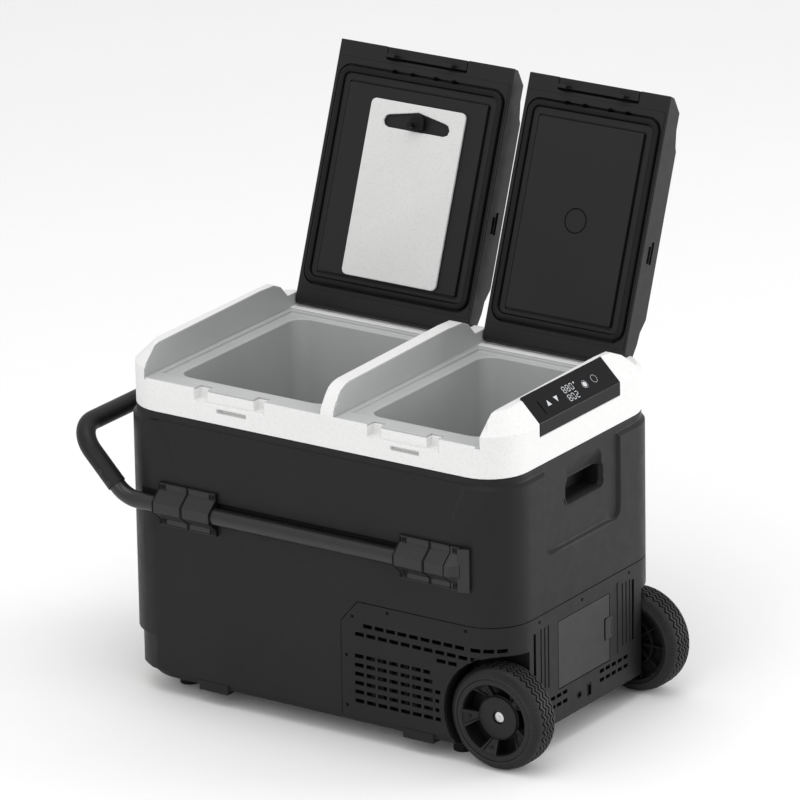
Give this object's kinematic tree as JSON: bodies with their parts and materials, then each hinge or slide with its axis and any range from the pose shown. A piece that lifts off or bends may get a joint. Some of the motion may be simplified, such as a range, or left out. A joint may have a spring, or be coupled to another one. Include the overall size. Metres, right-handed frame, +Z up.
{
  "type": "compressor cooler fridge",
  "caption": "Wheeled chest cooler with two insulated basins under separate hinged lids, a slide-out U-shaped tow handle, a compressor bay with vents and a sloping touch panel.",
  "frame": {"origin": "middle of the whole object's footprint, on the ground, with both lids open and the handle pushed in", "axes": "+Z up; +X along the cabinet towards the control panel and the wheels; -Y is the side with the latches, +Y the side with the lid hinges"},
  "size_m": [0.7068, 0.4992, 0.7578],
  "materials": {
    "black_body": "fine-textured moulded plastic",
    "white_frame": "fine-textured moulded plastic with faint speckle",
    "grey_liner": "smooth food-grade liner",
    "black_lid": "satin textured plastic",
    "black_gloss": "polished panel",
    "black_metal": "powder coat",
    "grip": "soft-touch moulding",
    "tyre": "treaded",
    "rubber": "dull",
    "steel": "bright",
    "alloy": "mill",
    "foam": "cellular foam",
    "board": "speckled grey",
    "circuit": "solder mask",
    "cells": "wrapped pack"
  },
  "bodies": {
    "cabinet": {"outer_shell": "black_body", "base_pan": "black_body", "top_frame": "white_frame", "insulation_foam": "foam", "compressor_cover": "black_body", "compressor": "black_metal", "condenser": "alloy", "fan_shroud": "black_body", "battery_pack": "cells", "power_socket": "black_gloss", "data_socket": "black_gloss", "control_panel": "black_gloss", "control_board": "circuit", "axle": "steel", "hinge_pin_left": "steel", "hinge_pin_right": "steel", "foot_1": "rubber", "foot_2": "rubber", "foot_3": "rubber", "foot_4": "rubber", "bracket_front_1": "black_body", "bracket_front_2": "black_body", "bracket_front_3": "black_body", "bracket_front_4": "black_body", "wheel_arch_front": "black_body", "bracket_back_1": "black_body", "bracket_back_2": "black_body", "bracket_back_3": "black_body", "bracket_back_4": "black_body", "wheel_arch_back": "black_body", "liner_left": "grey_liner", "evaporator_left": "alloy", "liner_right": "grey_liner", "evaporator_right": "alloy"},
    "handle": {"handle_grip": "grip", "handle_tube_front": "black_metal", "handle_tube_back": "black_metal"},
    "wheel_front": {"tyre_front": "tyre", "hub_front": "black_body", "wheel_bolt_front": "steel"},
    "wheel_back": {"tyre_back": "tyre", "hub_back": "black_body", "wheel_bolt_back": "steel"},
    "fan": {"fan_rotor": "black_body"},
    "battery_hatch": {"battery_door": "black_body"},
    "lid_left": {"lid_shell_left": "black_lid", "lid_panel_left": "black_lid", "lid_foam_left": "foam", "lid_gasket_left": "rubber", "latch_pin_left": "steel"},
    "lid_right": {"lid_shell_right": "black_lid", "lid_panel_right": "black_lid", "lid_foam_right": "foam", "lid_gasket_right": "rubber", "latch_pin_right": "steel"},
    "latch_flap_left": {"latch_left": "black_lid"},
    "latch_flap_right": {"latch_right": "black_lid"},
    "board": {"cutting_board": "board"},
    "knob": {"board_knob": "black_lid"}
  },
  "joints": [
    {"name": "lid_left_hinge", "type": "hinge", "parent": "cabinet", "child": "lid_left", "pos_m": [-0.10499, 0.11888, 0.4328], "axis": [1, 0, 0], "range_deg": [0, 110]},
    {"name": "lid_right_hinge", "type": "hinge", "parent": "cabinet", "child": "lid_right", "pos_m": [0.15901, 0.11888, 0.4328], "axis": [1, 0, 0], "range_deg": [0, 110]},
    {"name": "latch_left_flip", "type": "hinge", "parent": "lid_left", "child": "latch_flap_left", "pos_m": [-0.10449, 0.23963, 0.74056], "axis": [-1, 0, 0], "range_deg": [0, 30], "stiffness_Nm_per_rad": 0.1},
    {"name": "latch_right_flip", "type": "hinge", "parent": "lid_right", "child": "latch_flap_right", "pos_m": [0.15826, 0.23963, 0.74056], "axis": [-1, 0, 0], "range_deg": [0, 30], "stiffness_Nm_per_rad": 0.1},
    {"name": "board_lift", "type": "slide", "parent": "lid_left", "child": "board", "axis": [0, -0.9397, 0.342], "range_m": [0, 0.03]},
    {"name": "board_knob_turn", "type": "hinge", "parent": "lid_left", "child": "knob", "pos_m": [-0.09599, 0.19073, 0.67056], "axis": [0, -0.9397, 0.342], "range_deg": [0, 180]},
    {"name": "handle_slide", "type": "slide", "parent": "cabinet", "child": "handle", "axis": [-1, 0, 0], "range_m": [0, 0.3]},
    {"name": "wheel_front_spin", "type": "hinge", "parent": "cabinet", "child": "wheel_front", "pos_m": [0.28551, -0.20342, 0.0679], "axis": [0, 1, 0], "continuous": true},
    {"name": "wheel_back_spin", "type": "hinge", "parent": "cabinet", "child": "wheel_back", "pos_m": [0.28551, 0.11318, 0.0679], "axis": [0, 1, 0], "continuous": true},
    {"name": "battery_door_hinge", "type": "hinge", "parent": "cabinet", "child": "battery_hatch", "pos_m": [0.30751, -0.10982, 0.1208], "axis": [0, 0, -1], "range_deg": [0, 100]},
    {"name": "fan_spin", "type": "hinge", "parent": "cabinet", "child": "fan", "pos_m": [0.13301, -0.18462, 0.091], "axis": [0, 1, 0], "continuous": true}
  ]
}
